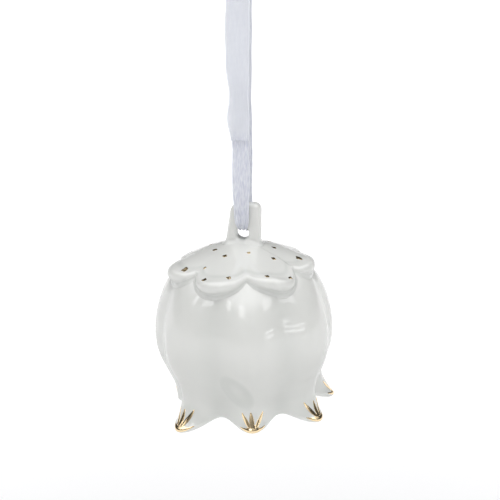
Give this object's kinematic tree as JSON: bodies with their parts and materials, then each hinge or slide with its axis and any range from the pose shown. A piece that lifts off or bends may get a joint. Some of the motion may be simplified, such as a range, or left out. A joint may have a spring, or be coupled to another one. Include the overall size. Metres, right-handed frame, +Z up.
{
  "type": "porcelain flower bell",
  "caption": "Small glazed porcelain bell shaped like a hanging flower, with gold-tipped petals, a lobed cap, a ribbon loop and a swinging bead clapper.",
  "frame": {"origin": "top of the ribbon loop, on the inner face of the ribbon, where a hook or twig carries the bell", "axes": "+Z up along the hanging ribbon; Y along the hole in the lug that the ribbon passes through, -Y the front"},
  "size_m": [0.0504, 0.0509, 0.1275],
  "materials": {
    "porcelain": "glossy clear glaze over white porcelain",
    "gold_lustre": "mirror gold lustre, fired on the glaze",
    "wire": "drawn brass wire",
    "ribbon": "sheer woven organza, bluish white"
  },
  "bodies": {
    "ribbon": {"hanging_ribbon": "ribbon"},
    "bell": {"bell_shell": "porcelain", "calyx_cap": "porcelain", "hanging_lug": "porcelain", "clapper_lug": "porcelain", "calyx_gilding": "gold_lustre", "tip_gilding": "gold_lustre"},
    "link": {"clapper_link": "wire"},
    "clapper": {"clapper_wire": "wire", "clapper_bead": "porcelain", "clapper_crimp": "wire"}
  },
  "joints": [
    {"name": "bell_swing", "type": "hinge", "parent": "ribbon", "child": "bell", "pos_m": [0, 0, -0.074], "axis": [0, 1, 0], "range_deg": [-35, 35]},
    {"name": "clapper_fore_aft", "type": "hinge", "parent": "bell", "child": "link", "pos_m": [-0.00035, 0, -0.08442], "axis": [1, 0, 0], "range_deg": [-22, 22]},
    {"name": "clapper_sideways", "type": "hinge", "parent": "link", "child": "clapper", "pos_m": [-0.00035, 0, -0.08877], "axis": [0, 1, 0], "range_deg": [-25, 25]}
  ]
}
